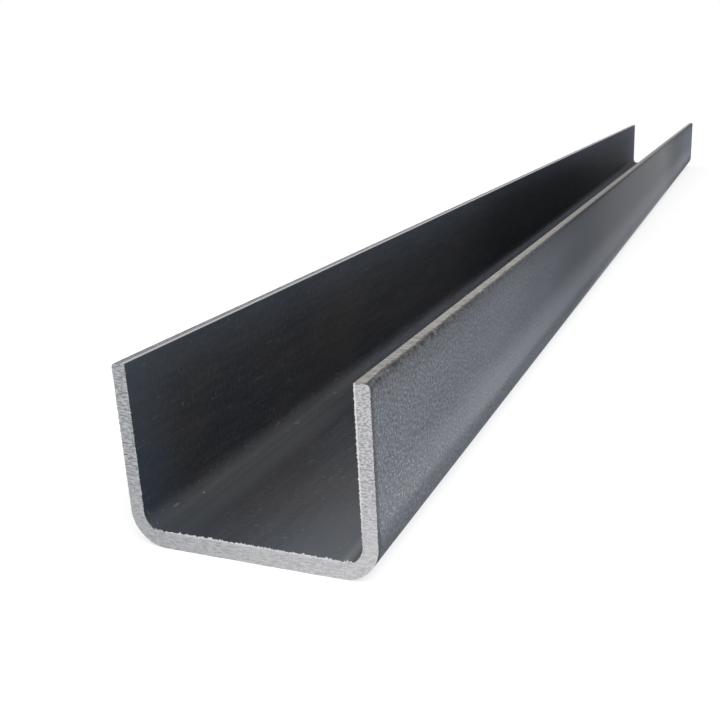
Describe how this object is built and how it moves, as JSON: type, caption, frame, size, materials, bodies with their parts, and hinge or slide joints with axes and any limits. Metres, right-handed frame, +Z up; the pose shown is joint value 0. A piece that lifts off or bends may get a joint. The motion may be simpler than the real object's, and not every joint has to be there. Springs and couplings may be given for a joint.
{
  "type": "steel channel",
  "caption": "Cold-formed U channel of mill-scale steel: flat web, upright flanges, rounded bends and square saw-cut ends; framing stock to cut, weld or bolt.",
  "frame": {"origin": "underside of the web, at the middle of its width and of the length", "axes": "+X across the web, +Y along the length, +Z up, the way the flanges stand"},
  "size_m": [0.07, 1, 0.05],
  "materials": {
    "mill_steel": "blue-grey mill scale, satin, with bright saw-cut ends and slit edges"
  },
  "bodies": {
    "root": {"channel": "mill_steel"}
  },
  "joints": []
}
